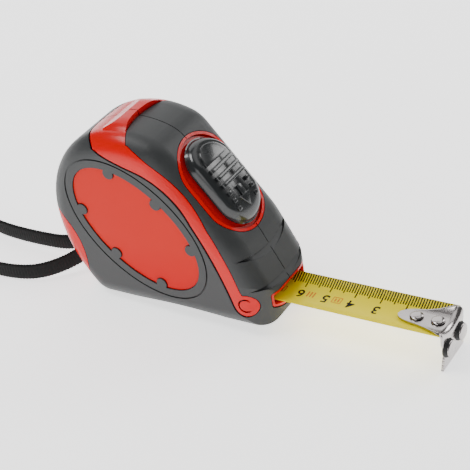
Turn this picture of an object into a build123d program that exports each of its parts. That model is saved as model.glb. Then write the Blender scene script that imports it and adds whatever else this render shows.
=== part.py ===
"""Tape measure: 5 m x 19 mm blade, rubber-coated case, thumb lock, magnetic end hook, wrist strap.

Frame: X forward out of the mouth, Y to the left, Z up, in millimetres. The origin is on the
base plane, straight below the reel's axle. The right half of the case is at negative Y.
"""
from build123d import *
import os
from math import asin, atan2, cos, degrees, pi, radians, sin, sqrt, tan

os.makedirs("parts", exist_ok=True)

# ------------------------------------------------------------ driving dimensions (mm)
half_width = 18.0            # half of the case's width
edge_round = 8.0             # rounding between the case's sides and its rim
skin = 1.2                   # rubber thickness
wall = 2.0                   # moulded shell under the rubber
joint_line = 0.25            # open line between the rubber and the red shell
seam_width = 0.3             # groove where the case's two halves meet
scoop_height, scoop_angle = 2.8, 16.0       # the two finger grooves across the nose

crown_centre, crown_radius = (-1.0, 33.8), 38.0
rear_centre, rear_radius = (11.0, 33.8), 50.0
brow = (15.6, 67.98)         # crown meets the button's slope
cheek = (41.5, 33.5)         # button's slope meets the nose
chin = (58.4, -1.3)          # nose line carried on down to the moulding's underside
heel = (-25.0, -1.3)         # rear arc meets the moulding's underside
nose_x, nose_corner = 51.6, 12.0

reel_z = 34.5                # axle above the base
arbor_radius, drum_radius, coil_radius = 2.5, 17.0, 24.3
drum_half, coil_half = 9.8, 9.5
running_gap = 0.3

blade_half, blade_sag, blade_thick = 9.0, 2.5, 0.3
blade_edge_z = 9.4           # height of the blade's two edges
blade_tail_x = 33.5          # inner end of the straight blade
lead_length, lead_thick = 26.0, 0.25

mouth_half, mouth_low, mouth_corner, mouth_high, mouth_rim = 10.6, 5.8, 8.2, 12.0, 1.0

hook_x, hook_thick = 113.5, 1.1     # rear face of the claw, and the plate's thickness
tongue_length = 20.0
claw_bottom, claw_notch = -6.3, 0.9
rivet_places = (102.1, 110.1)
rivet_radius, rivet_head = 1.3, 2.5
magnet_radius, magnet_y, magnet_z, magnet_proud = 3.1, 4.9, 2.0, 1.3

ring_length, ring_width = 40.6, 28.0
button_length, button_width, button_high = 35.6, 20.4, 5.4
button_dome = 52.0           # radius of the button's back, seen from the side
button_travel = 4.5
button_lift = 0.3            # running gap under the button

screw_places = ((-30.5, 22.0), (-22.0, 58.0), (12.0, 62.0), (44.3, 18.6))
screw_shank, screw_head, post_radius = 1.2, 2.4, 3.0

boss_centre, boss_radius = (42.8, 10.3), 4.6

oval_centre, oval_long, oval_short, oval_tilt = (0.3, 34.4), 29.5, 18.5, -42.0
oval_border = 3.7            # rubber frame between the label and its crease
tab_radius = 2.2

spring_start, spring_pitch, spring_thick, spring_turns = 3.2, 1.3, 0.45, 9
pad_top = 12.2               # brake pad's upper face when the lock is open

pin_x, pin_radius = -31.4, 1.2
window_half, window_low, window_high = 7.6, 7.0, 15.0
strap_width = 7.0

# ------------------------------------------------------------ derived planes and values
slope_run, slope_drop = cheek[0] - brow[0], brow[1] - cheek[1]
slope_length = sqrt(slope_run ** 2 + slope_drop ** 2)
down_slope = Vector(slope_run, 0, -slope_drop) / slope_length
out_of_slope = Vector(slope_drop, 0, slope_run) / slope_length
ring_middle = Vector((brow[0] + cheek[0]) / 2 + 0.75, 0, (brow[1] + cheek[1]) / 2 - 1.0)
slope = Plane(origin=ring_middle, x_dir=down_slope, z_dir=out_of_slope)
section_radius = (blade_half ** 2 + blade_sag ** 2) / (2 * blade_sag)
section_axis_z = blade_edge_z - blade_sag + section_radius
reel_plane = Plane(origin=(0, 0, reel_z), x_dir=(1, 0, 0), z_dir=(0, -1, 0))


def save(part, label, colour):
    """Label a finished piece and write it as its own STEP file."""
    part.label = label
    part.color = Color(colour)
    export_step(part, f"parts/{label}.step")


def casing(grow, half=half_width):
    """The case's outer form moved out by grow: a rounded side profile, cut flat under and in front."""
    with BuildPart() as body:
        with BuildSketch(Plane.XZ):
            with BuildLine():
                lowest = 180 + degrees(asin((rear_centre[1] - heel[1]) / rear_radius))
                highest = degrees(atan2(brow[1] - crown_centre[1], brow[0] - crown_centre[0]))
                back = CenterArc(rear_centre, rear_radius, lowest, 180 - lowest)
                crown = CenterArc(crown_centre, crown_radius, 180, highest - 180)
                Polyline(crown @ 1, cheek, chin, back @ 0)
            make_face()
            offset(amount=grow, kind=Kind.INTERSECTION)
        extrude(amount=half + grow, both=True)
        for (x, z), radius in ((brow, 14), (cheek, 30), (chin, 9), (heel, 9)):
            corner = body.edges().filter_by(Axis.Y).sort_by_distance((x, 0, z))[0]
            fillet(corner, radius=radius + grow)
        fillet(body.faces().filter_by(Axis.Y).edges(), radius=edge_round + grow)
        with BuildSketch(Plane.XY.offset(-grow)) as plan:
            with Locations((nose_x + grow - 60, 0)):
                Rectangle(120, 2 * (half + grow))
            fillet(plan.vertices().group_by(Axis.X)[-1], radius=nose_corner + grow)
        extrude(amount=100, mode=Mode.INTERSECT)
        with BuildSketch(Plane.XZ):
            with BuildLine():
                arch = ThreePointArc((-14, 0), (9, 2.9), (30, 1.9))
                Polyline(arch @ 1, (34, 0), (34, -12), (-14, -12), arch @ 0)
            make_face()
            offset(amount=-grow)
        extrude(amount=30, both=True, mode=Mode.SUBTRACT)
    return body.part


with BuildSketch() as mouth_sketch:
    with BuildLine():
        mouth_floor = ThreePointArc((-mouth_half, mouth_corner), (0, mouth_low), (mouth_half, mouth_corner))
        Polyline(mouth_floor @ 1, (mouth_half, mouth_high), (-mouth_half, mouth_high), mouth_floor @ 0)
    make_face()
mouth_outline = mouth_sketch.sketch


def red_zone(margin):
    """Where the red shell shows through the rubber: stripes, band, ring, rear patch and mouth rim."""
    with BuildPart() as zone:
        with BuildSketch(Plane.XZ):
            with BuildLine():
                front = ThreePointArc((3.5, 69), (18.6, 58.4), (31.4, 40.1))
                front_foot = ThreePointArc(front @ 1, (37.4, 28.5), (41.6, 16))
                back_foot = ThreePointArc((38.2, 9.5), (33.0, 25.7), (25.8, 41.5))
                back = ThreePointArc(back_foot @ 1, (17.6, 53.2), (4.9, 60))
                back_top = ThreePointArc(back @ 1, (-3.8, 62.8), (-12, 66.5))
                Polyline(front_foot @ 1, (44, 11), back_foot @ 0)
                Polyline(back_top @ 1, (-10, 69), front @ 0)
            make_face()
            with Locations(boss_centre):
                Circle(boss_radius)
            offset(amount=margin)
        extrude(amount=half_width + 2, both=True)
        with BuildSketch(Plane.XY.offset(60)):
            with BuildLine():
                rear_edge = ThreePointArc((-11.5, -17), (-18.6, 0), (-11.5, 17))
                front_edge = ThreePointArc((3.8, 17), (-1.2, 0), (3.8, -17))
                Line(rear_edge @ 1, front_edge @ 0)
                Line(front_edge @ 1, rear_edge @ 0)
            make_face()
            offset(amount=margin)
        extrude(amount=20)
        with BuildSketch(Plane.XZ):
            with BuildLine():
                patch = ThreePointArc((-44, 42), (-26.6, 19.5), (-33, -2))
                Polyline(patch @ 1, (-44, -2), patch @ 0)
            make_face()
            offset(amount=margin)
        extrude(amount=half_width + 2, both=True)
        with BuildSketch(slope.offset(-4)):
            SlotOverall(ring_length, ring_width)
            offset(amount=margin)
        extrude(amount=12)
        with BuildSketch(Plane.YZ.offset(nose_x - 4)):
            add(mouth_outline)
            offset(amount=mouth_rim + margin)
        extrude(amount=8)
    return zone.part


def scoop(bottom, inward, half_span, rise):
    """A crescent cut across the nose, deepest along its upper edge and running out at its lower one."""
    with BuildPart() as cut:
        start = Vector(bottom[0], 0, bottom[1]) - Vector(inward[0], 0, inward[1]) * 3
        with BuildSketch(Plane(origin=start, x_dir=(0, -1, 0), z_dir=(inward[0], 0, inward[1]))):
            with BuildLine():
                upper = ThreePointArc((-half_span, rise), (0, scoop_height), (half_span, rise))
                ThreePointArc(upper @ 1, (0, 0), upper @ 0)
            make_face()
        extrude(amount=8)
        hinge = Axis((bottom[0], 0, bottom[1]), (0, 1, 0))
        add(outer.rotate(hinge, -scoop_angle), mode=Mode.SUBTRACT)
    return cut.part


def label_oval(margin, thickness, start):
    """Both sides' label shape: an oval with six round tabs left standing at its edge."""
    with BuildPart() as oval:
        for face_y in (-1, 1):
            with BuildSketch(Plane.XZ.offset(-face_y * start)):
                with Locations(Location((*oval_centre, 0), (0, 0, oval_tilt))):
                    Ellipse(oval_long + margin, oval_short + margin)
                    for angle in (45, 90, 135, 225, 270, 315):
                        x = (oval_long - 1.2) * cos(radians(angle))
                        y = (oval_short - 1.2) * sin(radians(angle))
                        with Locations((x, y)):
                            Circle(tab_radius - margin, mode=Mode.SUBTRACT)
            extrude(amount=-face_y * thickness)
    return oval.part


# ------------------------------------------------------------ case: the forms its pieces share
outer = casing(0)
core = casing(-skin)
hollow = casing(-skin - wall)
groove_floor = casing(-0.95)
seam_floor = casing(-0.4)
lip_form = casing(2.0, half=half_width - 4.5)
red_form = red_zone(-joint_line / 2)
red_opening = red_zone(joint_line / 2)
label_pocket = label_oval(0, 4, half_width - skin)

with BuildPart() as red_pads:
    add(outer)
    add(red_form, mode=Mode.INTERSECT)

with BuildPart() as top_lip:
    with BuildSketch(Plane.XZ):
        Polygon((-12, 64), (-12, 70), (-4.2, 74.2), (4, 74.2), (4, 64), align=None)
    extrude(amount=half_width, both=True)
    with BuildSketch(Plane.XY.offset(60)):
        with BuildLine():
            lip_front = ThreePointArc((3.4, -17), (-1.5, 0), (3.4, 17))
            lip_rear = ThreePointArc((-4, 17), (-13, 0), (-4, -17))
            Line(lip_front @ 1, lip_rear @ 0)
            Line(lip_rear @ 1, lip_front @ 0)
        make_face()
    extrude(amount=20, mode=Mode.INTERSECT)
    add(lip_form, mode=Mode.INTERSECT)

with BuildPart() as ring_dish:
    with BuildSketch(slope.offset(-3)):
        SlotOverall(ring_length - 2.4, ring_width - 2.4)
    extrude(amount=8)
    add(groove_floor, mode=Mode.SUBTRACT)

with BuildPart() as inner_works:
    for wall_y in (-1, 1):
        with BuildSketch(Plane.XZ.offset(wall_y * (drum_half + 0.6))):
            with Locations((0, reel_z)):
                Circle(21)
                Circle(19, mode=Mode.SUBTRACT)
                Circle(5)
        extrude(amount=wall_y * 5.4)
    with BuildSketch(Plane.XZ):
        with Locations(*screw_places):
            Circle(post_radius)
    extrude(amount=half_width - 2.4, both=True)
    with Locations((nose_x - 8.1, 0, mouth_low)):
        Box(11, 2 * mouth_half, mouth_low - 3, align=(Align.CENTER, Align.CENTER, Align.MAX))
    add(core, mode=Mode.INTERSECT)

with BuildPart() as lip_notch:
    with BuildSketch(Plane.YZ.offset(nose_x - 3.5)):
        with BuildLine():
            notch_top = ThreePointArc((-7.5, 0), (0, 3.0), (7.5, 0))
            Polyline(notch_top @ 1, (7.5, -2), (-7.5, -2), notch_top @ 0)
        make_face()
    extrude(amount=5)

with BuildPart() as seam_cut:
    with BuildSketch(Plane.XZ):
        Rectangle(240, 240)
    extrude(amount=seam_width / 2, both=True)
    add(seam_floor, mode=Mode.SUBTRACT)

with BuildPart() as shell:
    add(core)
    add(red_pads.part)
    add(top_lip.part)
    add(hollow, mode=Mode.SUBTRACT)
    add(inner_works.part)
    with BuildSketch(Plane.YZ.offset(nose_x - 14)):
        add(mouth_outline)
    extrude(amount=16, mode=Mode.SUBTRACT)
    add(ring_dish.part, mode=Mode.SUBTRACT)
    with BuildSketch(slope.offset(-6)):
        with Locations((button_travel / 2, 0)):
            SlotOverall(20 + button_travel + 2, 9)
    extrude(amount=10, mode=Mode.SUBTRACT)
    with BuildSketch(Plane.XZ):
        with Locations((0, reel_z)):
            Circle(arbor_radius + 0.05)
    extrude(amount=half_width - 3, both=True, mode=Mode.SUBTRACT)
    with BuildSketch(Plane.YZ.offset(-45)):
        with Locations((0, (window_low + window_high) / 2)):
            Rectangle(2 * window_half, window_high - window_low)
            fillet(vertices(), radius=0.8)
    extrude(amount=18, mode=Mode.SUBTRACT)
    with Locations((pin_x, 0, (window_low + window_high) / 2)):
        Cylinder(pin_radius + 0.05, window_high - window_low + 3.4, mode=Mode.SUBTRACT)
    for boss_y in (-1, 1):
        with BuildSketch(Plane.XZ.offset(-boss_y * (half_width - 1.1))):
            with Locations(boss_centre):
                Circle(2.9)
                Circle(2.3, mode=Mode.SUBTRACT)
        extrude(amount=-boss_y * 4, mode=Mode.SUBTRACT)
    add(lip_notch.part, mode=Mode.SUBTRACT)
    add(seam_cut.part, mode=Mode.SUBTRACT)

with BuildPart() as nose_cuts:
    add(scoop((46.1, 24.2), (-0.79, -0.61), 16.5, 6.0))
    add(scoop((51.0, 13.8), (-0.92, -0.39), 17.0, 4.6))
    add(groove_floor, mode=Mode.SUBTRACT)

with BuildPart() as grip:
    add(outer)
    add(core, mode=Mode.SUBTRACT)
    add(red_opening, mode=Mode.SUBTRACT)
    add(red_opening.moved(Location((-0.5, 0, -0.35))), mode=Mode.SUBTRACT)
    add(label_pocket, mode=Mode.SUBTRACT)
    for face_y in (-1, 1):
        with BuildSketch(Plane.XZ.offset(-face_y * (half_width - 0.5))):
            with Locations(Location((*oval_centre, 0), (0, 0, oval_tilt))):
                Ellipse(oval_long + oval_border, oval_short + oval_border)
                Ellipse(oval_long + oval_border - 0.6, oval_short + oval_border - 0.6, mode=Mode.SUBTRACT)
        extrude(amount=-face_y * 3, mode=Mode.SUBTRACT)
    add(nose_cuts.part, mode=Mode.SUBTRACT)
    add(lip_notch.part, mode=Mode.SUBTRACT)
    add(seam_cut.part, mode=Mode.SUBTRACT)
    with BuildSketch(Plane.XZ.offset(-half_width + 4.4)):
        with Locations(*screw_places):
            Circle(screw_head + 0.4)
    extrude(amount=-6, mode=Mode.SUBTRACT)

with BuildPart() as drilled_shell:
    add(shell.part)
    with BuildSketch(Plane.XZ):
        with Locations(*screw_places):
            Circle(screw_shank + 0.1)
    extrude(amount=half_width - 4.4, both=True, mode=Mode.SUBTRACT)
    with BuildSketch(Plane.XZ.offset(-half_width + 4.4)):
        with Locations(*screw_places):
            Circle(screw_head + 0.3)
    extrude(amount=-6, mode=Mode.SUBTRACT)

for half_name, keep in (("right", Keep.TOP), ("left", Keep.BOTTOM)):
    with BuildPart() as half_shell:
        add(drilled_shell.part)
        split(bisect_by=Plane.XZ, keep=keep)
    save(half_shell.part, f"{half_name}_shell", "red")
    with BuildPart() as half_grip:
        add(grip.part)
        split(bisect_by=Plane.XZ, keep=keep)
    save(half_grip.part, f"{half_name}_grip", "dimgray")

# ------------------------------------------------------------ labels and screws
label_plates = label_oval(-0.15, 0.7, half_width - skin)
for half_name, order in (("right", 0), ("left", -1)):
    with BuildPart() as label:
        add(label_plates.solids().sort_by(Axis.Y)[order])
    save(label.part, f"{half_name}_label", "tomato")

with BuildPart() as case_screws:
    with BuildSketch(Plane.XZ.offset(10)):
        with Locations(*screw_places):
            Circle(screw_shank)
    extrude(amount=-(half_width - 4.4) - 10)
    with BuildSketch(Plane.XZ.offset(-half_width + 4.4)):
        with Locations(*screw_places):
            Circle(screw_head)
    extrude(amount=-1.8)
    chamfer(case_screws.edges().filter_by(GeomType.CIRCLE).group_by(Axis.Y)[-1], length=0.4)
    with BuildSketch(Plane.XZ.offset(-half_width + 2.6)):
        with Locations(*screw_places):
            Rectangle(3.2, 0.8)
            Rectangle(0.8, 3.2)
    extrude(amount=1.1, mode=Mode.SUBTRACT)
save(case_screws.part, "case_screws", "silver")

# ------------------------------------------------------------ reel
with BuildPart() as reel_arbor:
    with BuildSketch(Plane.XZ):
        with Locations((0, reel_z)):
            Circle(arbor_radius)
            Rectangle(2 * arbor_radius + 1, 0.8, mode=Mode.SUBTRACT)
    extrude(amount=drum_half - 1.4, both=True)
    for end_y in (-1, 1):
        with BuildSketch(Plane.XZ.offset(end_y * (drum_half - 1.4))):
            with Locations((0, reel_z)):
                Circle(arbor_radius)
        extrude(amount=end_y * 6.4)
save(reel_arbor.part, "reel_arbor", "silver")

with BuildPart() as reel_drum:
    with BuildSketch(Plane.XZ):
        with Locations((0, reel_z)):
            Circle(drum_radius)
            Circle(drum_radius - 1.4, mode=Mode.SUBTRACT)
    extrude(amount=drum_half, both=True)
    with BuildSketch(Plane.XZ.offset(-drum_half)):
        with Locations((0, reel_z)):
            Circle(drum_radius - 1)
            Circle(arbor_radius + running_gap, mode=Mode.SUBTRACT)
            with PolarLocations(10, 6):
                Circle(2.4, mode=Mode.SUBTRACT)
    extrude(amount=1)
save(reel_drum.part, "reel_drum", "ivory")

with BuildPart() as spring_cover:
    with BuildSketch(Plane.XZ.offset(drum_half - 1)):
        with Locations((0, reel_z)):
            Circle(drum_radius - 1.45)
            Circle(arbor_radius + running_gap, mode=Mode.SUBTRACT)
    extrude(amount=1)
save(spring_cover.part, "spring_cover", "ivory")

with BuildPart() as power_spring:
    with BuildSketch(reel_plane):
        for half_turn in range(2 * spring_turns):
            radius = spring_start + half_turn * spring_pitch / 2
            lower = half_turn % 2
            with BuildLine():
                outside = CenterArc((lower * spring_pitch / 2, 0), radius + spring_thick, 180 * lower, 180)
                inside = CenterArc((lower * spring_pitch / 2, 0), radius, 180 * lower, 180)
                Line(outside @ 0, inside @ 0)
                Line(outside @ 1, inside @ 1)
            make_face()
    extrude(amount=drum_half - 1.5, both=True)
save(power_spring.part, "power_spring", "steelblue")

with BuildPart() as tape_coil:
    with BuildSketch(reel_plane):
        Circle(coil_radius)
        Circle(drum_radius, mode=Mode.SUBTRACT)
    extrude(amount=coil_half, both=True)
save(tape_coil.part, "tape_coil", "gold")

with BuildPart() as tape_lead:
    with Locations((0, 0, reel_z - coil_radius - 0.05)):
        Box(lead_length, 2 * coil_half, lead_thick, align=(Align.MIN, Align.CENTER, Align.MAX))
save(tape_lead.part, "tape_lead", "gold")


# ------------------------------------------------------------ blade and end hook
def trough(top_radius, thickness, half_chord, start, length):
    """A strip along X with the blade's hollow section, its upper face on the given radius."""
    with BuildPart() as strip:
        with BuildSketch(Plane.YZ.offset(start)):
            with Locations((0, section_axis_z)):
                Circle(top_radius + thickness)
                Circle(top_radius, mode=Mode.SUBTRACT)
            with Locations((0, section_axis_z - section_radius)):
                Rectangle(2 * half_chord, 8, mode=Mode.INTERSECT)
        extrude(amount=length)
    return strip.part


blade_form = trough(section_radius, blade_thick, blade_half, blade_tail_x, hook_x - blade_tail_x - 0.2)
tongue_form = trough(section_radius - hook_thick, hook_thick - 0.02, blade_half,
                     hook_x - tongue_length, tongue_length + hook_thick)

with BuildPart() as tape_blade:
    add(blade_form)
    for x in rivet_places:
        with Locations((x, 0, blade_edge_z - blade_sag)):
            Cylinder(rivet_radius, 4, mode=Mode.SUBTRACT)
save(tape_blade.part, "tape_blade", "gold")

claw_top = section_axis_z - section_radius + hook_thick
with BuildPart() as end_hook:
    add(tongue_form)
    with BuildSketch(Plane.XY):
        with BuildLine():
            tip = hook_x - tongue_length
            far = Spline((tip + 4, 3.4), (tip + 12, 4.2), (hook_x - 2, 8.2), (hook_x + hook_thick, 8.8))
            ThreePointArc(far @ 0, (tip, 0), (tip + 4, -3.4))
            near = Spline((tip + 4, -3.4), (tip + 12, -4.2), (hook_x - 2, -8.2), (hook_x + hook_thick, -8.8))
            Line(far @ 1, near @ 1)
        make_face()
    extrude(amount=20, mode=Mode.INTERSECT)
    with BuildSketch(Plane.YZ.offset(hook_x)):
        with BuildLine():
            crown_arc = ThreePointArc((-7.6, claw_top + 1.9), (0, claw_top), (7.6, claw_top + 1.9))
            left_edge = Polyline(crown_arc @ 1, (7.2, claw_notch + 1.5), (6.6, claw_notch),
                                 (7.9, claw_notch - 1.6), (8.8, claw_bottom))
            right_edge = Polyline(crown_arc @ 0, (-7.2, claw_notch + 1.5), (-6.6, claw_notch),
                                  (-7.9, claw_notch - 1.6), (-8.8, claw_bottom))
            Line(left_edge @ 1, right_edge @ 1)
        make_face()
        for tooth_gap in range(4):
            gap_z = claw_bottom + 1 + tooth_gap * 1.1
            with Locations((-8.75, gap_z), (8.75, gap_z)):
                RegularPolygon(0.45, 3, mode=Mode.SUBTRACT)
        with Locations((-magnet_y, magnet_z), (magnet_y, magnet_z)):
            Circle(magnet_radius, mode=Mode.SUBTRACT)
    extrude(amount=hook_thick)
    for x in rivet_places:
        with BuildSketch(Plane.XY):
            with Locations((x - 0.6, 0)):
                SlotOverall(2 * rivet_radius + 1.6, 2 * rivet_radius + 0.3)
        extrude(amount=20, mode=Mode.SUBTRACT)
save(end_hook.part, "end_hook", "silver")

head_z = section_axis_z - sqrt((section_radius - hook_thick) ** 2 - rivet_head ** 2) + 0.05
tail_z = section_axis_z - section_radius - blade_thick
with BuildPart() as hook_rivets:
    for x in rivet_places:
        with Locations((x, 0, head_z)):
            Cylinder(rivet_head, 0.8, align=(Align.CENTER, Align.CENTER, Align.MIN))
        with Locations((x, 0, tail_z)):
            Cylinder(rivet_radius, head_z - tail_z, align=(Align.CENTER, Align.CENTER, Align.MIN))
            Cylinder(2.0, 0.5, align=(Align.CENTER, Align.CENTER, Align.MAX))
    fillet(hook_rivets.edges().filter_by(GeomType.CIRCLE).group_by(Axis.Z)[-1], radius=0.5)
save(hook_rivets.part, "hook_rivets", "silver")

with BuildPart() as hook_magnets:
    with BuildSketch(Plane.YZ.offset(hook_x)):
        with Locations((-magnet_y, magnet_z), (magnet_y, magnet_z)):
            Circle(magnet_radius)
    extrude(amount=hook_thick + magnet_proud)
    chamfer(hook_magnets.edges().filter_by(GeomType.CIRCLE).group_by(Axis.X)[-1], length=0.3)
save(hook_magnets.part, "hook_magnets", "lightgray")

# ------------------------------------------------------------ thumb lock
dome_axis = Plane(origin=ring_middle + out_of_slope * (button_high - button_dome), x_dir=down_slope,
                  z_dir=(0, -1, 0))


def dome(rise):
    """The round back that limits the button and what stands up on it."""
    with BuildPart() as drum:
        with BuildSketch(dome_axis):
            Circle(button_dome + rise)
        extrude(amount=half_width, both=True)
    return drum.part


button_back, relief_back = dome(0), dome(0.7)

with BuildPart() as lock_button:
    with BuildSketch(slope.offset(button_lift)):
        SlotOverall(button_length, button_width)
    extrude(amount=8, taper=14)
    add(button_back, mode=Mode.INTERSECT)
    fillet(lock_button.faces().sort_by(Axis((0, 0, 0), tuple(out_of_slope)))[-1].edges(), radius=1.2)

with BuildPart() as button_relief:
    with BuildSketch(slope.offset(1.2)):
        with Locations((-10.2, 0)):
            SlotOverall(11, 11)
        with Locations((-4.9, 0)):
            Rectangle(6, 14, mode=Mode.SUBTRACT)
        with Locations((-5.6, 0), (-2.6, 0), (0.4, 0)):
            Rectangle(1.3, 11.4)
        with Locations((5.2, 0)):
            Rectangle(5, 2.6)
        with Locations((9.2, 0)):
            Polygon((-2, -3.2), (-2, 3.2), (2.4, 0), align=None)
        with Locations(*[(x, side_y * 5.6) for x in (3.6, 6.9, 10.2) for side_y in (-1, 1)]):
            Rectangle(1.5, 1.5)
    extrude(amount=8)
    add(relief_back, mode=Mode.INTERSECT)
with BuildPart() as embossed_button:
    add(lock_button.part)
    add(button_relief.part)
save(embossed_button.part, "lock_button", "dimgray")

with BuildPart() as lock_slider:
    with BuildSketch(slope.offset(button_lift)):
        SlotOverall(20, 8)
    extrude(amount=-4)
    with BuildSketch(slope.offset(button_lift - 4)):
        Rectangle(26, 13)
    extrude(amount=-1.8)
    with BuildSketch(Plane.XZ):
        Polygon((28.8, 40.6), (32.4, 43.0), (29.9, 26), (29.8, pad_top), (26.8, pad_top), (27.2, 26),
                align=None)
    extrude(amount=3.5, both=True)
save(lock_slider.part, "lock_slider", "gray")

with BuildPart() as brake_pad:
    with Locations((28.3, 0, pad_top)):
        Box(3, 8, 1.1, align=(Align.CENTER, Align.CENTER, Align.MAX))
save(brake_pad.part, "brake_pad", "black")

# ------------------------------------------------------------ nose bumper, strap pin and strap
with BuildPart() as mouth_bumper:
    with Locations((nose_x - 5.6, 0, mouth_high)):
        Box(3, 2 * mouth_half - 2, 1.6, align=(Align.CENTER, Align.CENTER, Align.MIN))
save(mouth_bumper.part, "mouth_bumper", "black")

with BuildPart() as strap_pin:
    with Locations((pin_x, 0, (window_low + window_high) / 2)):
        Cylinder(pin_radius, window_high - window_low + 3.2)
save(strap_pin.part, "strap_pin", "silver")

strap_route = (
    (-34.0, 3.6, 11.0), (-41.6, 2.7, 8.4), (-51.5, -0.6, 6.0), (-63.0, -1.6, 6.2), (-75.5, -1.6, 6.2),
    (-88.5, -0.6, 6.5), (-102.5, 4.2, 7.2), (-117.0, 9.8, 7.9), (-132.5, 11.2, 8.6), (-146.8, 3.4, 9.2),
    (-153.0, -11.6, 9.5), (-148.4, -27.2, 9.3), (-135.0, -36.4, 8.7), (-118.8, -36.0, 8.0),
    (-103.6, -31.0, 7.3), (-88.0, -26.4, 6.6), (-74.0, -24.6, 6.0), (-61.6, -23.8, 5.5),
    (-51.6, -20.6, 5.4), (-44.4, -13.8, 6.0), (-39.2, -7.6, 7.8), (-34.0, -3.6, 11.0),
)
points = [Vector(*point) for point in strap_route]
bend_radii = []
for before, corner, after in zip(points, points[1:], points[2:]):
    arriving, leaving = corner - before, after - corner
    half_turn_angle = radians(arriving.get_angle(leaving)) / 2
    bend_radii.append(0.45 * min(arriving.length, leaving.length) / tan(half_turn_angle))
print("strap bend radii", [round(radius, 1) for radius in bend_radii])

with BuildPart() as wrist_strap:
    with BuildLine() as route:
        path = FilletPolyline(*points, radius=bend_radii)
    with BuildSketch(Plane(origin=path @ 0, z_dir=path % 0)):
        Circle(strap_width / 2)
    sweep()
print("strap length", round(path.length, 1))
print("strap tube volume over section times length",
      round(wrist_strap.part.volume / (pi * strap_width ** 2 / 4 * path.length), 4))
save(wrist_strap.part, "wrist_strap", "black")
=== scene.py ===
# %% [markdown]
# A pocket tape measure, finished piece by piece.
# The mechanical model comes first, as a fixed frame. Each piece of it keeps its place, and this
# lesson gives every piece its finish, and models again the ones whose looks need more detail:
# the printed blade, the end hook with its rivets and magnets, the thumb button and the strap.
# %% Load the frame
import math
import bmesh
import bpy
from mathutils import Matrix, Vector


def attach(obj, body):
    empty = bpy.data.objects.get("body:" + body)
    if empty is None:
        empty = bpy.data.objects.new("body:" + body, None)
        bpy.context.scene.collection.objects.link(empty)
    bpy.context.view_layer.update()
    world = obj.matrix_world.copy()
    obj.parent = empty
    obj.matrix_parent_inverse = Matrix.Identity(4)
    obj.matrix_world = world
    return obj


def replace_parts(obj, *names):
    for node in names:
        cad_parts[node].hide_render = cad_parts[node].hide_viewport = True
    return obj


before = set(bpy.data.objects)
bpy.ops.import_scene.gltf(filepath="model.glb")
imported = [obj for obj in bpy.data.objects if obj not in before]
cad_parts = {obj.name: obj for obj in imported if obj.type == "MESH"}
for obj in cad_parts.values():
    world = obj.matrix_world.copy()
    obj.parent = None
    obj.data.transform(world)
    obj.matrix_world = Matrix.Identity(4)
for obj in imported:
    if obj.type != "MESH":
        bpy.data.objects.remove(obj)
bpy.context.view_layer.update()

MM = 0.001

# %% [markdown]
# The camera looks down from the right and a little ahead, with a long lens, which keeps the
# tape's sides nearly parallel. It is rolled by ten degrees, so that the blade runs downhill.
# A camera's matrix holds its right, up and backward directions as columns.
# %% Camera
camera_data = bpy.data.cameras.new("camera")
camera_data.sensor_width = 36.0
camera_data.lens = 105.994
camera_data.clip_start = 0.01
camera = bpy.data.objects.new("camera", camera_data)
bpy.context.collection.objects.link(camera)
camera_right = Vector((0.84517, 0.51167, -0.15456))
camera_up = Vector((-0.17568, 0.53901, 0.82377))
turn = Matrix((camera_right, camera_up, camera_right.cross(camera_up))).transposed().to_4x4()
camera.matrix_world = Matrix.Translation((0.282733, -0.334044, 0.299246)) @ turn
bpy.context.scene.camera = camera
print("camera", [round(value, 3) for value in camera.matrix_world.translation])

# %% [markdown]
# The wrist strap is a narrow webbing loop, about six millimetres wide. It leaves a window at the
# back of the case, lies on the table on its edge, and comes back to the same window. One smooth
# NURBS line through its route gives the middle of the ribbon.
# %% The strap's line
strap_route = (
    (-34.0, 3.6, 11.0), (-41.6, 2.7, 8.4), (-51.5, -0.6, 6.0), (-63.0, -1.6, 6.2), (-75.5, -1.6, 6.2),
    (-88.5, -0.6, 6.5), (-102.5, 4.2, 7.2), (-117.0, 9.8, 7.9), (-132.5, 11.2, 8.6), (-146.8, 3.4, 9.2),
    (-153.0, -11.6, 9.5), (-148.4, -27.2, 9.3), (-135.0, -36.4, 8.7), (-118.8, -36.0, 8.0),
    (-103.6, -31.0, 7.3), (-88.0, -26.4, 6.6), (-74.0, -24.6, 6.0), (-61.6, -23.8, 5.5),
    (-51.6, -20.6, 5.4), (-44.4, -13.8, 6.0), (-39.2, -7.6, 7.8), (-34.0, -3.6, 11.0),
)


def smooth_line(name, route, steps):
    """A curve object that runs smoothly along a route given in millimetres."""
    line = bpy.data.curves.new(name, "CURVE")
    line.dimensions = "3D"
    line.twist_mode = "Z_UP"
    spline = line.splines.new("NURBS")
    spline.points.add(len(route) - 1)
    for point, place in zip(spline.points, route):
        point.co = (*(value * MM for value in place), 1)
    spline.order_u = 3
    spline.use_endpoint_u = True
    spline.resolution_u = steps
    made = bpy.data.objects.new(name, line)
    bpy.context.collection.objects.link(made)
    return made


def points_along(line):
    """The points that a curve with no thickness passes through."""
    bpy.context.view_layer.update()
    traced = bpy.data.meshes.new_from_object(line)
    points = [vertex.co.copy() for vertex in traced.vertices]
    bpy.data.meshes.remove(traced)
    return points


strap_line = smooth_line("strap_line", strap_route, 56)
strap_points = points_along(strap_line)
strap_length = sum((b - a).length for a, b in zip(strap_points, strap_points[1:]))
print("strap", len(strap_points), "points,", round(strap_length, 4), "m")

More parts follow.
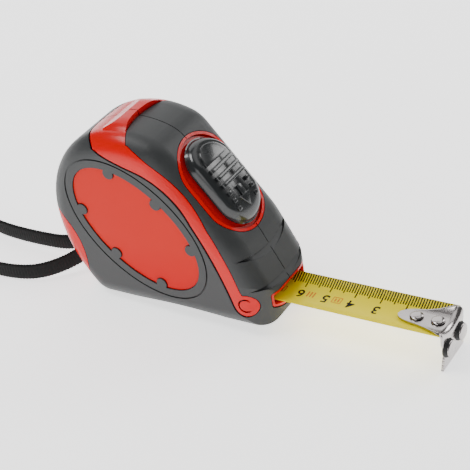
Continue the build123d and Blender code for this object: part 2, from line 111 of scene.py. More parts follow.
# %% [markdown]
# The ribbon is a flat section carried along that line. Giving the curve a section object and
# turning the result into a mesh is quicker than placing rings by hand, and keeps the ribbon
# upright. Webbing is woven: rows of yarn cross it about a millimetre apart, and each row stands
# up a little, at the ribbon's edges too. So the mesh is then swollen row by row.
# %% The strap's webbing
STRAP_WIDE, STRAP_THICK = 6.3 * MM, 1.0 * MM
ROW_PITCH, ROW_SWELL = 1.25 * MM, 0.24 * MM
SIDE_POINTS, FLAT_SHARE = 7, 0.94
RING_POINTS = 2 * (SIDE_POINTS + 1)


def new_piece(name, mesh, body, material):
    """An object for a finished mesh that rides on a body and wears a material."""
    piece = bpy.data.objects.new(name, mesh)
    bpy.context.collection.objects.link(piece)
    mesh.materials.clear()
    mesh.materials.append(material)
    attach(piece, body)
    return piece


def webbing_section():
    """A flat loop with round ends, drawn as a curve, for the ribbon's section."""
    flat = bpy.data.curves.new("strap_section", "CURVE")
    flat.dimensions = "2D"
    outline = flat.splines.new("POLY")
    corners = []
    across, through = STRAP_THICK / 2, STRAP_WIDE / 2
    for side in (-1, 1):
        for step in range(SIDE_POINTS):
            along = 1 - 2 * step / (SIDE_POINTS - 1)
            corners.append((side * across, side * along * through * FLAT_SHARE))
        corners.append((0, -side * through))
    outline.points.add(len(corners) - 1)
    for point, (x, y) in zip(outline.points, corners):
        point.co = (x, y, 0, 1)
    outline.use_cyclic_u = True
    made = bpy.data.objects.new("strap_section", flat)
    bpy.context.collection.objects.link(made)
    return made


section = webbing_section()
strap_line.data.bevel_mode = "OBJECT"
strap_line.data.bevel_object = section
strap_line.data.use_fill_caps = True
bpy.context.view_layer.update()
scene_state = bpy.context.evaluated_depsgraph_get()
strap_mesh = bpy.data.meshes.new_from_object(strap_line.evaluated_get(scene_state))
travelled = [0.0]
for a, b in zip(strap_points, strap_points[1:]):
    travelled.append(travelled[-1] + (b - a).length)
weave = bmesh.new()
weave.from_mesh(strap_mesh)
for vertex in weave.verts:
    ring = min(vertex.index // RING_POINTS, len(strap_points) - 1)
    row = abs(math.sin(math.pi * travelled[ring] / ROW_PITCH))
    vertex.co += (vertex.co - strap_points[ring]).normalized() * ROW_SWELL * row
bmesh.ops.remove_doubles(weave, verts=weave.verts, dist=1e-6)
bmesh.ops.recalc_face_normals(weave, faces=weave.faces)
for face in weave.faces:
    face.smooth = True
weave.to_mesh(strap_mesh)
weave.free()
for spare in (strap_line, section):
    bpy.data.objects.remove(spare)
print("strap faces", len(strap_mesh.polygons), "vertices", len(strap_mesh.vertices))

# %% [markdown]
# Shader sums read better as Python. A Tap wraps one output socket and overloads the operators,
# and a Recipe makes the nodes of one material. Settings such as a Math node's operation are set
# before its sockets, because they decide which sockets there are.
# %% Shader tools


class Tap:
    """One output socket that can be added, subtracted and multiplied like a number."""

    def __init__(self, recipe, socket):
        self.recipe, self.socket = recipe, socket

    def combine(self, operation, other):
        return self.recipe.node("ShaderNodeMath", {"operation": operation}, {0: self, 1: other})

    def __add__(self, other):
        return self.combine("ADD", other)

    def __sub__(self, other):
        return self.combine("SUBTRACT", other)

    def __mul__(self, other):
        return self.combine("MULTIPLY", other)


class Recipe:
    """The nodes of one material, with the shader's own sockets for what doesn't vary."""

    def __init__(self, name, roughness, metallic=0.0, **uniform):
        self.material = bpy.data.materials.new(name)
        self.material.use_nodes = True
        self.tree = self.material.node_tree
        self.shader = self.tree.nodes["Principled BSDF"]
        self.shader.inputs["Roughness"].default_value = roughness
        self.shader.inputs["Metallic"].default_value = metallic
        for socket_name, value in uniform.items():
            self.shader.inputs[socket_name.replace("_", " ")].default_value = value

    def node(self, kind, settings=None, inputs=None, output=0):
        made = self.tree.nodes.new(kind)
        for key, value in (settings or {}).items():
            if key == "stops":
                for element, stop in zip(made.color_ramp.elements, value):
                    element.position, element.color = stop
            else:
                setattr(made, key, value)
        for key, value in (inputs or {}).items():
            if isinstance(value, Tap):
                self.tree.links.new(value.socket, made.inputs[key])
            else:
                made.inputs[key].default_value = value
        return Tap(self, made.outputs[output])

    def place(self):
        return self.node("ShaderNodeTexCoord", output="Object")

    def part_of(self, place, axis):
        return self.node("ShaderNodeSeparateXYZ", inputs={0: place}, output="XYZ".index(axis))

    def noise(self, scale, detail=2.0, stretch=(1, 1, 1)):
        spread = self.node("ShaderNodeMapping", inputs={"Vector": self.place(), "Scale": stretch})
        return self.node("ShaderNodeTexNoise", inputs={
            "Vector": spread, "Scale": scale, "Detail": detail})

    def blend(self, amount, first, second):
        colours = {0: amount, 6: first, 7: second}
        return self.node("ShaderNodeMix", {"data_type": "RGBA"}, colours, 2)

    def ramp(self, amount, low, high):
        stops = ((low, (0, 0, 0, 1)), (high, (1, 1, 1, 1)))
        return self.node("ShaderNodeValToRGB", {"stops": stops}, {0: amount})

    def feed(self, socket_name, tap):
        self.tree.links.new(tap.socket, self.shader.inputs[socket_name])

    def grime(self, colour, reach):
        """Paints shade into a colour in gaps narrower than reach, where light can't get."""
        openness = self.node("ShaderNodeAmbientOcclusion", {"samples": 8}, {"Distance": reach}, 1)
        clear = self.ramp(openness, 0.25, 0.8)
        return self.blend(clear, (0.004, 0.004, 0.004, 1), colour)

    def bump(self, height, distance, strength=1.0):
        self.feed("Normal", self.node("ShaderNodeBump", inputs={
            "Height": height, "Distance": distance, "Strength": strength}))


# %% [markdown]
# The case's shell is bright red moulded ABS. It is glossy, with the faint unevenness that
# moulded surfaces have, which shows only in its reflections. A little noise in the roughness
# and a very low bump give that.
# %% Red ABS


def red_abs():
    recipe = Recipe("red_abs", 0.22, Specular_IOR_Level=0.25)
    cloud = recipe.noise(60, 3)
    colour = recipe.blend(cloud, (0.74, 0.0, 0.0, 1), (0.66, 0.0, 0.0, 1))
    # Painted shade: the red turns dark in the shell's seams and gaps.
    recipe.feed("Base Color", recipe.grime(colour, 0.0012))
    recipe.feed("Roughness", recipe.noise(900, 2) * 0.10 + 0.19)
    recipe.bump(recipe.noise(420, 2), 0.00002, 0.5)
    return recipe.material


# %% [markdown]
# The grip is rubber moulded over the shell, nearly black and satin. Its mould was spark eroded,
# so the surface has a fine, even grain of about a fifth of a millimetre. Two noises, one for the
# grain and one for slow patches of wear, drive the roughness and the bump.
# %% Grip rubber


def grip_rubber():
    recipe = Recipe("grip_rubber", 0.5, Specular_IOR_Level=0.35)
    wear = recipe.noise(70, 4)
    grain = recipe.noise(4200, 1)
    colour = recipe.blend(wear, (0.032, 0.034, 0.035, 1), (0.042, 0.044, 0.045, 1))
    # Painted shade: the rubber turns darker in the grip's seams and gaps.
    recipe.feed("Base Color", recipe.grime(colour, 0.0008))
    recipe.feed("Roughness", wear * 0.14 + grain * 0.10 + 0.34)
    recipe.bump(grain, 0.00006, 0.35)
    return recipe.material


# %% [markdown]
# The side labels are printed plates let into the rubber, deep red. Their upper part is painted
# lighter and orange-red, a painted sheen of the light on them. Object coordinates run in metres
# from the frame's origin, so the height above the base can be read straight from Z.
# %% Label plate


def label_print():
    recipe = Recipe("label_print", 0.4, Specular_IOR_Level=0.1)
    place = recipe.place()
    height = recipe.part_of(place, "Z") * 34.0 - recipe.part_of(place, "X") * 2.0
    # Painted sheen: the label is lighter and more orange towards its top.
    painted_sheen = recipe.ramp(height + recipe.noise(30, 2) * 0.12, 0.42, 1.0)
    recipe.feed("Base Color", recipe.blend(painted_sheen, (0.64, 0.0, 0.0, 1), (0.64, 0.014, 0.006, 1)))
    recipe.feed("Roughness", recipe.noise(1500, 2) * 0.10 + 0.28)
    recipe.bump(recipe.noise(2600, 1), 0.00002, 0.3)
    return recipe.material


# %% [markdown]
# The thumb button is hard, glossy, dark grey plastic, polished by thumbs. It gets a clear coat
# over a slightly uneven base.
# %% Button plastic


def button_gloss():
    recipe = Recipe("button_gloss", 0.3, Coat_Weight=0.2, Coat_Roughness=0.08)
    rub = recipe.noise(120, 4)
    colour = recipe.blend(rub, (0.014, 0.016, 0.017, 1), (0.022, 0.024, 0.025, 1))
    recipe.feed("Base Color", colour)
    recipe.feed("Roughness", rub * 0.08 + 0.16)
    return recipe.material


# %% [markdown]
# Metals: the hook, rivets and magnets are nickel plated, bright, and lightly scratched by use.
# Scratches are noise that is stretched thin along one direction. The screws, arbor and pin have
# the same build with a duller zinc colour, and the power spring is blued steel.
# %% Metals


def worn_metal(name, colour, dull, roughness, scratch_depth):
    recipe = Recipe(name, roughness, 1.0)
    scratch = recipe.ramp(recipe.noise(900, 3, (0.12, 1.0, 1.0)), 0.45, 0.75)
    tarnish = recipe.noise(160, 4)
    recipe.feed("Base Color", recipe.blend(tarnish, colour, dull))
    recipe.feed("Roughness", tarnish * 0.12 + scratch * 0.10 + (roughness - 0.06))
    recipe.bump(scratch, scratch_depth, 0.4)
    return recipe.material


# %% [markdown]
# Plain moulded parts inside the case: the reel and the slider are natural plastic, and the
# bumper and brake pad are soft black rubber.
# %% Inside plastics


def plain_moulding(name, colour, shade, roughness):
    recipe = Recipe(name, roughness)
    patch = recipe.noise(90, 3)
    recipe.feed("Base Color", recipe.blend(patch, colour, shade))
    recipe.feed("Roughness", recipe.noise(2400, 1) * 0.15 + (roughness - 0.07))
    recipe.bump(recipe.noise(3200, 1), 0.00003, 0.3)
    return recipe.material


# %% [markdown]
# The blade is steel with a yellow lacquer that is glossy but never quite flat: long, very low
# ripples run along it. The inks on it are thin, so their colour and shine vary a little.
# %% Blade lacquer


def yellow_lacquer():
    recipe = Recipe("yellow_lacquer", 0.35, Specular_IOR_Level=0.08)
    tone = recipe.noise(200, 3, (0.25, 1.0, 1.0))
    recipe.feed("Base Color", recipe.blend(tone, (0.96, 0.80, 0.0, 1), (0.90, 0.74, 0.0, 1)))
    recipe.feed("Roughness", tone * 0.14 + 0.24)
    recipe.bump(recipe.noise(600, 2, (0.2, 1.0, 1.0)), 0.00002, 0.35)
    return recipe.material


def printing_ink(name, colour):
    recipe = Recipe(name, 0.42, Specular_IOR_Level=0.1)
    patch = recipe.noise(1800, 2)
    thin = tuple(min(1.0, value * 1.15 + 0.001) for value in colour[:3]) + (1,)
    recipe.feed("Base Color", recipe.blend(recipe.ramp(patch, 0.35, 0.8), colour, thin))
    recipe.feed("Roughness", patch * 0.2 + 0.32)
    return recipe.material


# %% [markdown]
# The webbing is black nylon yarn. Its rows are in the mesh already, so the material adds only
# the single yarns: fine noise in the colour and the height, and a high roughness.
# %% Strap yarn


def nylon_yarn():
    recipe = Recipe("nylon_yarn", 0.7, Specular_IOR_Level=0.2)
    fibre = recipe.noise(2600, 3, (0.5, 0.5, 2.0))
    colour = recipe.blend(fibre, (0.002, 0.002, 0.002, 1), (0.008, 0.008, 0.008, 1))
    recipe.feed("Base Color", colour)
    recipe.feed("Roughness", fibre * 0.25 + 0.55)
    recipe.bump(fibre, 0.0002, 0.6)
    return recipe.material


# %% [markdown]
# Each finish is made once and shared by every piece that wears it. The metals differ only in
# their colours and polish, and so do the plain mouldings and the inks.
# %% Make the materials
red = red_abs()
rubber = grip_rubber()
label = label_print()
gloss_grey = button_gloss()
nickel = worn_metal("nickel_plate", (0.50, 0.47, 0.46, 1), (0.42, 0.39, 0.385, 1), 0.2, 0.000012)
zinc = worn_metal("zinc_steel", (0.62, 0.62, 0.63, 1), (0.52, 0.52, 0.52, 1), 0.34, 0.00002)
blued = worn_metal("blued_spring", (0.20, 0.23, 0.30, 1), (0.14, 0.16, 0.20, 1), 0.30, 0.00002)
natural = plain_moulding("natural_plastic", (0.74, 0.71, 0.64, 1), (0.68, 0.65, 0.58, 1), 0.45)
soft_black = plain_moulding(
    "soft_black_rubber", (0.018, 0.018, 0.018, 1), (0.028, 0.027, 0.026, 1), 0.7)
yellow = yellow_lacquer()
black_ink = printing_ink("black_ink", (0.003, 0.003, 0.002, 1))
orange_ink = printing_ink("orange_ink", (0.70, 0.13, 0.010, 1))
yarn = nylon_yarn()
print("materials", len(bpy.data.materials))

# %% [markdown]
# The frame's own pieces keep their shapes and only change their finish. Each one has a single
# material slot, which takes the new material.
# %% Dress the frame's pieces
finishes = {
    "right_shell": red, "left_shell": red, "right_grip": rubber, "left_grip": rubber,
    "right_label": label, "left_label": label, "case_screws": zinc, "reel_arbor": zinc,
    "reel_drum": natural, "spring_cover": natural, "power_spring": blued, "tape_coil": yellow,
    "tape_lead": yellow, "lock_slider": natural, "brake_pad": soft_black,
    "mouth_bumper": soft_black, "strap_pin": zinc,
}
for node_name, material in finishes.items():
    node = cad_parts[node_name]
    if not node.material_slots:
        node.data.materials.append(material)
    for slot in node.material_slots:
        slot.material = material
print("dressed", len(finishes), "pieces")

# %% [markdown]
# The strap joins the case: it replaces the plain tube that the frame holds for it.
# %% Hang the strap on the case
strap = new_piece("strap_webbing", strap_mesh, "case", yarn)
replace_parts(strap, "wrist_strap")

# %% [markdown]
# The blade is a strip with a hollow section, which is what keeps it stiff. One vertex is spun
# through the section's arc, the arc is extruded along X, and the sheet is thickened to 0.3 mm.
# %% Blade strip
SECTION_RADIUS, SECTION_AXIS = 17.45 * MM, 24.35 * MM
BLADE_HALF, BLADE_THICK = 9.0 * MM, 0.3 * MM
BLADE_TAIL, BLADE_TIP = 33.5 * MM, 113.3 * MM


def hollow_z(y):
    """Height of the blade's upper face at a distance y from its middle."""
    return SECTION_AXIS - math.sqrt(SECTION_RADIUS ** 2 - y ** 2)


strip = bmesh.new()
edge_vertex = strip.verts.new((BLADE_TAIL, BLADE_HALF, hollow_z(BLADE_HALF)))
bmesh.ops.spin(strip, geom=[edge_vertex], cent=(BLADE_TAIL, 0, SECTION_AXIS), axis=(1, 0, 0),
               angle=-2 * math.asin(BLADE_HALF / SECTION_RADIUS), steps=28)
carried = bmesh.ops.extrude_edge_only(strip, edges=strip.edges[:])["geom"]
bmesh.ops.translate(strip, verts=[v for v in carried if isinstance(v, bmesh.types.BMVert)],
                    vec=(BLADE_TIP - BLADE_TAIL, 0, 0))
bmesh.ops.recalc_face_normals(strip, faces=strip.faces)
if next(iter(strip.faces)).normal.z < 0:
    bmesh.ops.reverse_faces(strip, faces=strip.faces)
bmesh.ops.solidify(strip, geom=strip.faces[:], thickness=BLADE_THICK)
bmesh.ops.recalc_face_normals(strip, faces=strip.faces)
blade_mesh = bpy.data.meshes.new("blade_strip")
strip.to_mesh(blade_mesh)
heights = [v.co.z for v in strip.verts]
print("blade z", round(min(heights), 5), round(max(heights), 5), "faces", len(strip.faces))
strip.free()
blade_strip = new_piece("blade_strip", blade_mesh, "blade", yellow)
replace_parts(blade_strip, "tape_blade")

# %% [markdown]
# The scale is printed on the lacquer along the far edge: a line for each millimetre, longer at
# five and longest at ten. The count starts just past the hook's outer face. Each line is a
# small grid bent to the blade's section and raised by six hundredths of a millimetre.
# %% Scale lines
SCALE_ZERO = 115.2 * MM
INK_LIFT, LINE_WIDE, LINES_FROM = 0.06 * MM, 0.46 * MM, 8.9 * MM
LONG_LINE, MIDDLE_LINE, SHORT_LINE = 5.6 * MM, 4.6 * MM, 3.8 * MM
FIRST_LINE, LAST_LINE = 2, 80


def onto_blade(mesh_cells):
    """Bends flat printing down onto the blade's hollow face."""
    for vertex in mesh_cells.verts:
        vertex.co.z += hollow_z(vertex.co.y) + INK_LIFT


lines = bmesh.new()
for mark in range(FIRST_LINE, LAST_LINE + 1):
    reach = LONG_LINE if mark % 10 == 0 else MIDDLE_LINE if mark % 5 == 0 else SHORT_LINE
    middle = Vector((SCALE_ZERO - mark * MM, LINES_FROM - reach / 2, 0))
    shape = Matrix.Translation(middle) @ Matrix.Diagonal((LINE_WIDE, reach, 1, 1))
    bmesh.ops.create_grid(lines, x_segments=1, y_segments=6, size=0.5, matrix=shape)
onto_blade(lines)
line_mesh = bpy.data.meshes.new("scale_lines")
lines.to_mesh(line_mesh)
print("scale line faces", len(lines.faces))
lines.free()
new_piece("scale_lines", line_mesh, "blade", black_ink)

# %% [markdown]
# The centimetre numbers read from the near side towards the case, so each one is turned: its
# top points to the near edge. Text is made a mesh, cut finely enough to bend, and laid on.
# %% Numbers
NUMBER_HIGH, NUMBER_BOLD, NUMBER_Y = 6.0 * MM, 0.08 * MM, -0.2 * MM
CUT_PITCH, CUTS_EACH_SIDE = 0.5 * MM, 8


def printed_number(words, x):
    """A mesh of one printed number, its top towards the near edge, centred at x."""
    text = bpy.data.curves.new("number", "FONT")
    text.body = words
    text.size = NUMBER_HIGH
    text.align_x, text.align_y = "CENTER", "CENTER"
    text.offset = NUMBER_BOLD
    holder = bpy.data.objects.new("number", text)
    bpy.context.collection.objects.link(holder)
    bpy.context.view_layer.update()
    mesh = bpy.data.meshes.new_from_object(holder)
    bpy.data.objects.remove(holder)
    mesh.transform(Matrix.Translation((x, NUMBER_Y, 0)) @ Matrix.Rotation(math.pi, 4, "Z"))
    return mesh


numbers = bmesh.new()
for centimetre in range(3, 9):
    numbers.from_mesh(printed_number(str(centimetre), SCALE_ZERO - centimetre * 10 * MM))
for cut in range(-CUTS_EACH_SIDE, CUTS_EACH_SIDE + 1):
    everything = numbers.verts[:] + numbers.edges[:] + numbers.faces[:]
    bmesh.ops.bisect_plane(numbers, geom=everything, plane_co=(0, cut * CUT_PITCH, 0),
                           plane_no=(0, 1, 0))
onto_blade(numbers)
number_mesh = bpy.data.meshes.new("scale_numbers")
numbers.to_mesh(number_mesh)
print("number faces", len(numbers.faces))
numbers.free()
new_piece("scale_numbers", number_mesh, "blade", black_ink)

# %% [markdown]
# Real blades also carry small marks in orange. Plain shapes stand for them here, which mean
# nothing: two boxes with a pair of bars in each, and a row of three bars between them.
# %% Plain orange marks
MARKS_Y, BOX_WIDE, BOX_HIGH, BOX_LINE = 0.2, 3.4, 3.0, 0.25
BAR_WIDE, SHORT_BAR, TALL_BAR = 0.5, 1.8, 2.9
marks = bmesh.new()


def print_bar(x, y, wide, high):
    """A solid printed bar, fine enough across to bend."""
    spot = Matrix.Translation((x * MM, y * MM, 0)) @ Matrix.Diagonal((wide * MM, high * MM, 1, 1))
    bmesh.ops.create_grid(marks, x_segments=1, y_segments=6, size=0.5, matrix=spot)


for box_x in (69.7, 47.0):
    for side in (-1, 1):
        print_bar(box_x + side * BOX_WIDE / 2, MARKS_Y, BOX_LINE, BOX_HIGH + 0.2)
        print_bar(box_x, MARKS_Y + side * BOX_HIGH / 2, BOX_WIDE, BOX_LINE)
    for side in (1, -1):
        print_bar(box_x + side * 0.6, MARKS_Y, BAR_WIDE, SHORT_BAR)
for bar_x in (58.0, 59.2, 60.4):
    print_bar(bar_x, MARKS_Y, BAR_WIDE, TALL_BAR)
onto_blade(marks)
mark_mesh = bpy.data.meshes.new("orange_marks")
marks.to_mesh(mark_mesh)
print("mark faces", len(marks.faces))
marks.free()
new_piece("orange_marks", mark_mesh, "blade", orange_ink)

# %% [markdown]
# The end hook is stamped from nickel-plated sheet one millimetre thick: a tongue that lies in
# the blade's hollow, a tight bend, and a claw that hangs down. One flat grid makes it all. Its
# rows are slid into the outline, row by row, and laid along the tongue, the bend and the claw.
# Then the sheet gets its thickness and its edges are rounded.
# %% End hook plate
TONGUE_TIP, CLAW_BACK, CLAW_FOOT = 93.8 * MM, 113.5 * MM, -6.3 * MM
PLATE, BEND, EDGE_ROUND, TONGUE_GAP = 1.0 * MM, 1.3 * MM, 0.22 * MM, 0.03 * MM
PLATE_LONG, CLAW_FROM, TEETH_FROM = 36.5, 20.8, 31.5
CLAW_LEAN, TOOTH = 0.9 * MM, 0.22 * MM
outline_widths = (
    (0.0, 0.4), (0.5, 1.4), (1.4, 2.3), (2.8, 3.1), (5.0, 3.8), (9.0, 4.6), (12.5, 5.8),
    (15.5, 7.3), (18.0, 8.5), (19.5, 8.8), (24.0, 8.6), (26.0, 7.6), (28.0, 6.8), (30.0, 7.0),
    (32.0, 7.9), (PLATE_LONG, 8.8),
)


def hook_half_width(travel):
    """Half of the plate's width, in metres, at so many millimetres from the tongue's tip."""
    for (near, w_near), (far, w_far) in zip(outline_widths, outline_widths[1:]):
        if travel <= far:
            return (w_near + (w_far - w_near) * (travel - near) / (far - near)) * MM
    return outline_widths[-1][1] * MM


def hook_place(travel, y):
    """Where a point of the flat plate goes: along the tongue, round the bend, or down the claw."""
    rest = hollow_z(y) + TONGUE_GAP
    flat_run = CLAW_BACK - TONGUE_TIP - BEND
    along = travel * MM
    if along <= flat_run:
        return Vector((TONGUE_TIP + along, y, rest))
    turned_by = min((along - flat_run) / (BEND * math.pi / 2), 1) * math.pi / 2
    x = TONGUE_TIP + flat_run + BEND * math.sin(turned_by)
    z = rest - BEND * (1 - math.cos(turned_by))
    down = max(0, travel - CLAW_FROM) / (PLATE_LONG - CLAW_FROM)
    return Vector((x - down * CLAW_LEAN, y, z + (CLAW_FOOT - z) * down))


plate = bmesh.new()
bmesh.ops.create_grid(plate, x_segments=92, y_segments=20, size=1.0)
for vertex in plate.verts:
    travel = (vertex.co.x + 1) / 2 * PLATE_LONG
    tooth = TOOTH * (round(travel * 2) % 2) if travel > TEETH_FROM else 0
    vertex.co = hook_place(travel, vertex.co.y * (hook_half_width(travel) - tooth))
bmesh.ops.recalc_face_normals(plate, faces=plate.faces)
if min(plate.faces, key=lambda face: face.calc_center_median().x).normal.z < 0:
    bmesh.ops.reverse_faces(plate, faces=plate.faces)
bmesh.ops.solidify(plate, geom=plate.faces[:], thickness=-PLATE)
bmesh.ops.recalc_face_normals(plate, faces=plate.faces)
rims = [edge for edge in plate.edges if len(edge.link_faces) == 2 and edge.calc_face_angle() > 1.0]
bmesh.ops.bevel(plate, geom=rims, offset=EDGE_ROUND, offset_type="OFFSET", segments=2,
                profile=0.5, affect="EDGES", material=-1)
for face in plate.faces:
    face.smooth = True
plate_mesh = bpy.data.meshes.new("hook_plate")
plate.to_mesh(plate_mesh)
print("hook plate faces", len(plate.faces), "top", round(max(v.co.z for v in plate.verts), 5))
plate.free()

# %% [markdown]
# Rivets and magnets are turned parts: half a section spun about an axis. The same kind of turned
# plug cuts the plate, with a Boolean modifier that is then applied. The rivets' plugs are pulled
# out into slots, so that the hook can slide on the rivets by its own thickness. The magnets sit
# in round holes, each in a black collar of painted shadow that stands for the dark gap around it.
# The plugs mustn't overlap, or the cut would fail.
# %% Rivets, magnets and their holes
RIVET_X, MAGNET_Y, MAGNET_Z = (100.9, 108.9), 4.9, 1.8
HOOK_PLAY = 1.1
floor_z = hollow_z(0) / MM


def turned(profile, centre, axis, start):
    """Spins a list of (radius, height) points once about an axis through a point."""
    cells = bmesh.new()
    lathe = [cells.verts.new((Vector(centre) + Vector(start) * radius + Vector(axis) * height) * MM)
             for radius, height in profile]
    for a, b in zip(lathe, lathe[1:]):
        cells.edges.new((a, b))
    bmesh.ops.spin(cells, geom=cells.verts[:] + cells.edges[:], cent=Vector(centre) * MM,
                   axis=axis, angle=2 * math.pi, steps=40, use_merge=True)
    bmesh.ops.remove_doubles(cells, verts=cells.verts, dist=2e-6)
    bmesh.ops.recalc_face_normals(cells, faces=cells.faces)
    for face in cells.faces:
        face.smooth = True
    return cells


def on_tongue(profile):
    """A turned part at each rivet's place, standing up."""
    return [turned(profile, (x, 0, floor_z), (0, 0, 1), (1, 0, 0)) for x in RIVET_X]


def on_claw(profile):
    """A turned part at each magnet's place, facing forward."""
    return [turned(profile, (CLAW_BACK / MM, side * MAGNET_Y, MAGNET_Z), (1, 0, 0), (0, 1, 0))
            for side in (-1, 1)]


def collected(name, parts):
    """One mesh from several bmeshes."""
    whole = bmesh.new()
    for part in parts:
        loose = bpy.data.meshes.new("part")
        part.to_mesh(loose)
        part.free()
        whole.from_mesh(loose)
        bpy.data.meshes.remove(loose)
    mesh = bpy.data.meshes.new(name)
    whole.to_mesh(mesh)
    whole.free()
    return mesh


def metal_piece(name, mesh, body, replaced, crease):
    """A nickel-plated piece with sharp corners where its faces meet at more than crease."""
    mesh.set_sharp_from_angle(angle=math.radians(crease))
    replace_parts(new_piece(name, mesh, body, nickel), replaced)


rivet_profile = (
    (0, 2.15), (1.1, 2.1), (1.9, 1.95), (2.35, 1.7), (2.45, 1.4), (1.3, 1.3), (1.3, -0.3),
    (1.95, -0.3), (1.95, -0.7), (0, -0.75),
)
magnet_profile = ((0, 2.4), (2.6, 2.4), (2.9, 2.3), (3.05, 2.0), (3.05, 0.05), (0, 0.05))
shadow_collar_profile = (
    (1.0, 1.9), (3.12, 1.9), (3.12, 0.9), (3.5, 0.9), (3.5, 0.1), (1.0, 0.1), (1.0, 1.9),
)
slots = on_tongue(((0, 5), (1.5, 5), (1.5, -0.2), (0, -0.2)))
for slot_plug, x in zip(slots, RIVET_X):
    for vertex in slot_plug.verts:
        if vertex.co.x < (x - 0.01) * MM:
            vertex.co.x -= HOOK_PLAY * MM
holes = on_claw(((0, 5), (3.55, 5), (3.55, -3), (0, -3)))
cutter = bpy.data.objects.new("hole_plugs", collected("hole_plugs", slots + holes))
uncut = bpy.data.objects.new("hook_uncut", plate_mesh)
# Painted shadow: black rings around the magnets stand for the shadow gaps there.
new_piece("painted_shadow_collars", collected("painted_shadow_collars", on_claw(shadow_collar_profile)), "hook",
          soft_black)
for helper in (cutter, uncut):
    bpy.context.collection.objects.link(helper)
drill = uncut.modifiers.new("holes", "BOOLEAN")
drill.operation, drill.object, drill.solver = "DIFFERENCE", cutter, "EXACT"
scene_state = bpy.context.evaluated_depsgraph_get()
hook_mesh = bpy.data.meshes.new_from_object(uncut.evaluated_get(scene_state))
for helper in (cutter, uncut):
    bpy.data.objects.remove(helper)
print("hook faces", len(hook_mesh.polygons))
assert len(hook_mesh.polygons) > 1000, "the holes have eaten the hook"
metal_piece("hook_plate", hook_mesh, "hook", "end_hook", 40)
metal_piece("rivets", collected("rivets", on_tongue(rivet_profile)), "blade", "hook_rivets", 50)
metal_piece("magnets", collected("magnets", on_claw(magnet_profile)), "hook", "hook_magnets", 50)

# %% [markdown]
# The thumb button is a long oval with a domed back. It starts as a filled circle pulled out
# into an oval, and is inset ring by ring, each ring lifted a little higher, so the side wall
# rolls over into the back in one soft curve. Everything is shaped lying flat and then turned
# onto the case's slope.
# %% Thumb button
BUTTON_HALF_WIDE, BUTTON_STRETCH = 10.2 * MM, 7.6 * MM
DOME_RADIUS, BACK_HEIGHT, BUTTON_FOOT = 52.0 * MM, 5.4 * MM, 0.3 * MM
PAD_SINK = 0.4 * MM
BACK_RINGS = (
    (0.0, 4.2), (0.45, 2.3), (0.35, 1.2), (0.5, 0.55), (0.7, 0.18), (0.9, 0.03), (1.6, 0), (1.8, 0),
    (1.8, 0),
)
down_slope, off_slope = Vector((0.6006, 0, -0.7995)), Vector((0.7995, 0, 0.6006))
slope_turn = Matrix((down_slope, Vector((0, 1, 0)), off_slope)).transposed().to_4x4()
onto_slope = Matrix.Translation((29.3 * MM, 0, 49.74 * MM)) @ slope_turn


def back_z(x):
    """Height of the button's domed back above the slope."""
    return BACK_HEIGHT - DOME_RADIUS + math.sqrt(DOME_RADIUS ** 2 - x ** 2)


cap = bmesh.new()
bmesh.ops.create_circle(cap, cap_ends=True, segments=72, radius=BUTTON_HALF_WIDE)
for vertex in cap.verts:
    vertex.co.x += math.copysign(BUTTON_STRETCH, vertex.co.x)
    vertex.co.z = BUTTON_FOOT
lifted = bmesh.ops.extrude_face_region(cap, geom=cap.faces[:], use_keep_orig=True)["geom"]
top = next(item for item in lifted if isinstance(item, bmesh.types.BMFace))
for inset, drop in BACK_RINGS:
    if inset:
        bmesh.ops.inset_region(cap, faces=[top], thickness=inset * MM, use_even_offset=True)
    for vertex in top.verts:
        vertex.co.z = max(BUTTON_FOOT + 0.1 * MM, back_z(vertex.co.x) - drop * MM)
bmesh.ops.poke(cap, faces=[top])
for vertex in cap.verts:
    if len(vertex.link_edges) > 10:
        vertex.co.z = back_z(vertex.co.x)


def raised(cells, shape, high, soft):
    """Turns a flat outline into a raised, soft-edged pad on the button's back."""
    lifted = bmesh.ops.extrude_face_region(cells, geom=shape)["geom"]
    crown = [item for item in lifted if isinstance(item, bmesh.types.BMVert)]
    bmesh.ops.translate(cells, verts=crown, vec=(0, 0, high + PAD_SINK))
    edges = [item for item in lifted if isinstance(item, bmesh.types.BMEdge)]
    rim = [edge for edge in edges if len(edge.link_faces) == 2 and edge.calc_face_angle(0) > 1.0]
    bmesh.ops.bevel(cells, geom=rim, offset=soft, offset_type="OFFSET", segments=3,
                    profile=0.5, affect="EDGES", material=-1)


def slab(x, y, long, wide, high, soft=0.35):
    """A raised bar on the back, long along the slope and wide across it."""
    bar = bmesh.new()
    place = Matrix.Translation((x * MM, y * MM, 0)) @ Matrix.Diagonal((long * MM, wide * MM, 1, 1))
    across = max(2, round(wide / 1.5))
    bmesh.ops.create_grid(bar, x_segments=2, y_segments=across, size=0.5, matrix=place)
    raised(bar, bar.faces[:], high * MM, soft * MM)
    return bar


def gather(target, pad):
    """Moves a pad onto the domed back and adds it to a mesh that is being collected."""
    for vertex in pad.verts:
        vertex.co.z += back_z(vertex.co.x) - PAD_SINK
    loose = bpy.data.meshes.new("pad")
    pad.to_mesh(loose)
    pad.free()
    target.from_mesh(loose)
    bpy.data.meshes.remove(loose)


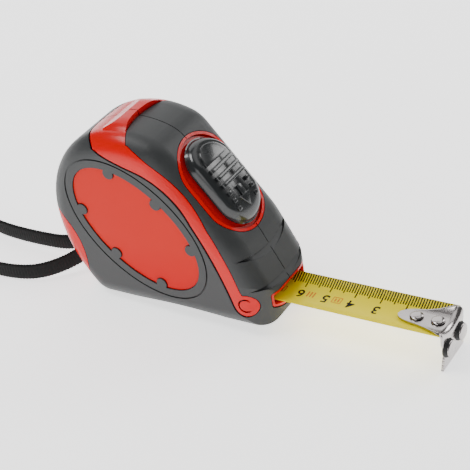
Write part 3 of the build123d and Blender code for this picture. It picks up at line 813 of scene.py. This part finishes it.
for rib_x in (-5.3, -2.1, 1.1):
    gather(cap, slab(rib_x, 0.4, 1.5, 13.6, 0.95))
for dash_x in (4.4, 7.6, 10.8):
    for dash_y in (-5.6, 5.6):
        gather(cap, slab(dash_x, dash_y, 1.5, 1.7, 0.55, 0.2))
gather(cap, slab(6.2, 0, 4.2, 2.2, 0.55, 0.25))
arrow = bmesh.new()
arrow_turn = Matrix.Translation((9.6 * MM, 0, 0)) @ Matrix.Rotation(-math.pi / 2, 4, "Z")
bmesh.ops.create_circle(arrow, cap_ends=True, segments=3, radius=3.3 * MM, matrix=arrow_turn)
raised(arrow, arrow.faces[:], 0.55 * MM, 0.25 * MM)
gather(cap, arrow)
thumb_pad = bmesh.new()
bmesh.ops.create_circle(thumb_pad, cap_ends=True, segments=40, radius=6.2 * MM,
                        matrix=Matrix.Translation((-8.0 * MM, 0, 0)))
whole_pad = thumb_pad.verts[:] + thumb_pad.edges[:] + thumb_pad.faces[:]
bmesh.ops.bisect_plane(thumb_pad, geom=whole_pad,
                       plane_co=(-7.6 * MM, 0, 0), plane_no=(1, 0, 0), clear_outer=True)
raised(thumb_pad, thumb_pad.faces[:], 0.8 * MM, 0.4 * MM)
gather(cap, thumb_pad)
bmesh.ops.transform(cap, matrix=onto_slope, verts=cap.verts)
bmesh.ops.recalc_face_normals(cap, faces=cap.faces)
for face in cap.faces:
    face.smooth = True
button_mesh = bpy.data.meshes.new("thumb_button")
cap.to_mesh(button_mesh)
print("button faces", len(cap.faces))
cap.free()
button_mesh.set_sharp_from_angle(angle=math.radians(35))
button = new_piece("thumb_button", button_mesh, "lock", gloss_grey)
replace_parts(button, "lock_button")

# %% [markdown]
# The table is a plain pale surface. The hook hangs below the case's base, so the tape rests on
# its heel and the hook's tip, tilted by 2.6 degrees: the table is laid along those two.
# %% Table
HEEL_X, TABLE_GAP = -25.3 * MM, 0.2 * MM
table_cells = bmesh.new()
bmesh.ops.create_grid(table_cells, x_segments=1, y_segments=1, size=3.0)
lean = math.atan2(-CLAW_FOOT, CLAW_BACK - HEEL_X)
bmesh.ops.rotate(table_cells, cent=(0, 0, 0), matrix=Matrix.Rotation(lean, 3, "Y"),
                 verts=table_cells.verts)
bmesh.ops.translate(table_cells, verts=table_cells.verts, vec=(HEEL_X, 0, -TABLE_GAP))
table_mesh = bpy.data.meshes.new("table")
table_cells.to_mesh(table_mesh)
table_cells.free()
table = bpy.data.objects.new("table", table_mesh)
bpy.context.collection.objects.link(table)
paper = Recipe("table_white", 0.9)
paper.shader.inputs["Base Color"].default_value = (0.92, 0.92, 0.92, 1)
paper.shader.inputs["Emission Color"].default_value = (1, 1, 1, 1)
paper.shader.inputs["Emission Strength"].default_value = 1.5
table_mesh.materials.append(paper.material)
print("table leans", round(math.degrees(lean), 2), "degrees")

# %% [markdown]
# Soft studio light. The key is high on the left, and the rim light is low behind. The back card
# is what the hook's tongue mirrors, so it makes the metal pale. A weak box fills from the right,
# one hangs overhead, and a pale world lights the rest.
# %% Light


def softbox(name, place, aim, size, power):
    """A square area light at a place, turned to face a point."""
    light_data = bpy.data.lights.new(name, "AREA")
    light_data.size = size
    light_data.energy = power
    light = bpy.data.objects.new(name, light_data)
    bpy.context.collection.objects.link(light)
    light.location = place
    light.rotation_euler = (Vector(aim) - Vector(place)).to_track_quat("-Z", "Y").to_euler()


softbox("key", (-0.30, -0.15, 0.75), (0.02, 0, 0.03), 0.35, 3.8)
softbox("rim", (0.40, 0.65, 0.40), (0.02, 0, 0.03), 0.35, 2.6)
softbox("back card", (-0.42, 0.62, 0.50), (0.09, 0, 0.01), 0.9, 4.5)
softbox("fill", (0.1, -0.9, 0.35), (0.02, 0, 0.03), 0.5, 1.6)
softbox("overhead", (0.25, 0.35, 1.0), (0.06, 0, 0.03), 0.7, 2.0)
world = bpy.data.worlds.new("studio")
bpy.context.scene.world = world
world.use_nodes = True
world.node_tree.nodes["Background"].inputs["Color"].default_value = (1, 1, 1, 1)
world.node_tree.nodes["Background"].inputs["Strength"].default_value = 0.12
